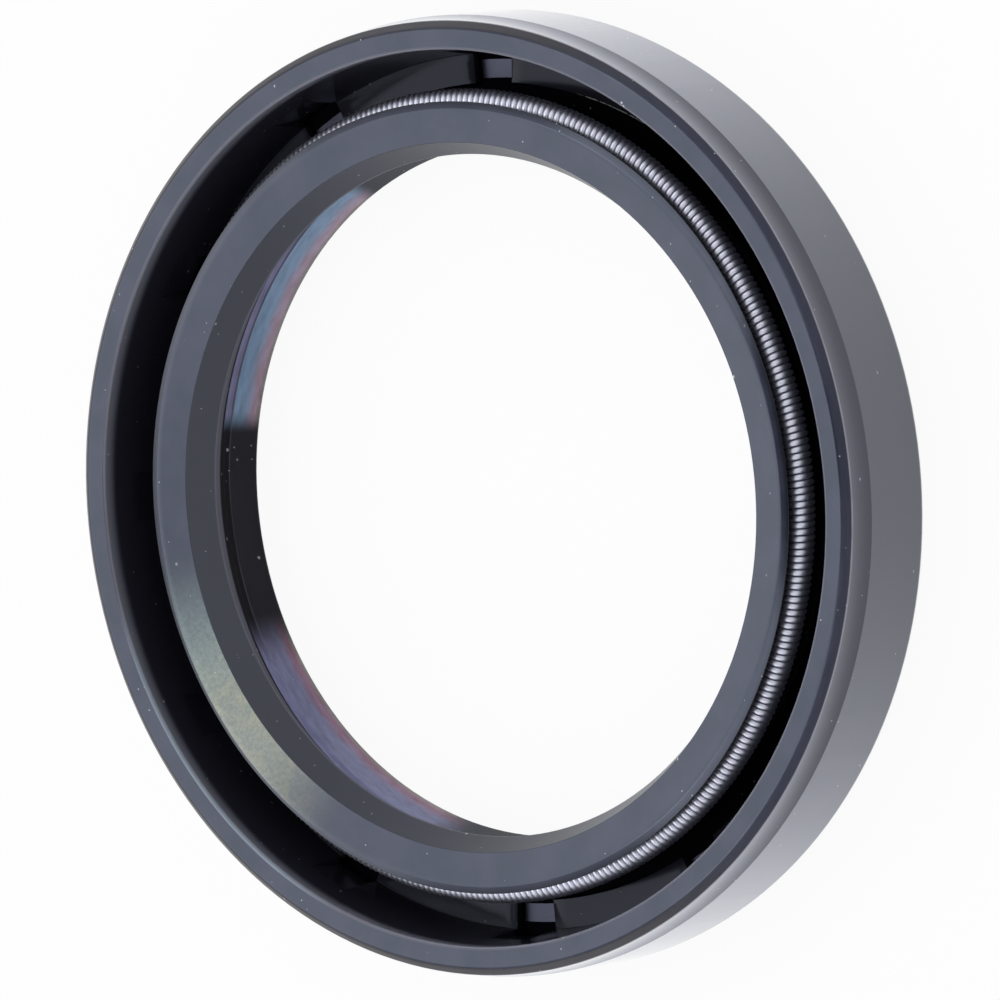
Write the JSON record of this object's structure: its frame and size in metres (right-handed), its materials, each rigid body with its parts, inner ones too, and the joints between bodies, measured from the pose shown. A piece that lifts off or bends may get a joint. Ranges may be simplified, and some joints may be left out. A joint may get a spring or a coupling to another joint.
{
  "type": "radial shaft seal",
  "caption": "Rubber-covered radial shaft seal with a spring-loaded sealing lip, a dust lip and an embedded steel case, to press into a housing round a turning shaft.",
  "frame": {"origin": "centre of the back (air side) face, on the shaft axis, which is the lowest plane as the seal lies flat", "axes": "+Z along the shaft axis from the dust lip side towards the spring (oil) side; +X through the middle of one locating-pad notch"},
  "size_m": [0.062, 0.062, 0.008],
  "materials": {
    "rubber": "black nitrile rubber, satin, smooth moulded surface with a faint blue sheen",
    "case_steel": "plain cold-rolled sheet, satin, bare only in the notches",
    "spring_steel": "bright drawn spring wire, close wound"
  },
  "bodies": {
    "root": {"rubber_body": "rubber", "steel_case": "case_steel", "garter_spring": "spring_steel"}
  },
  "joints": []
}
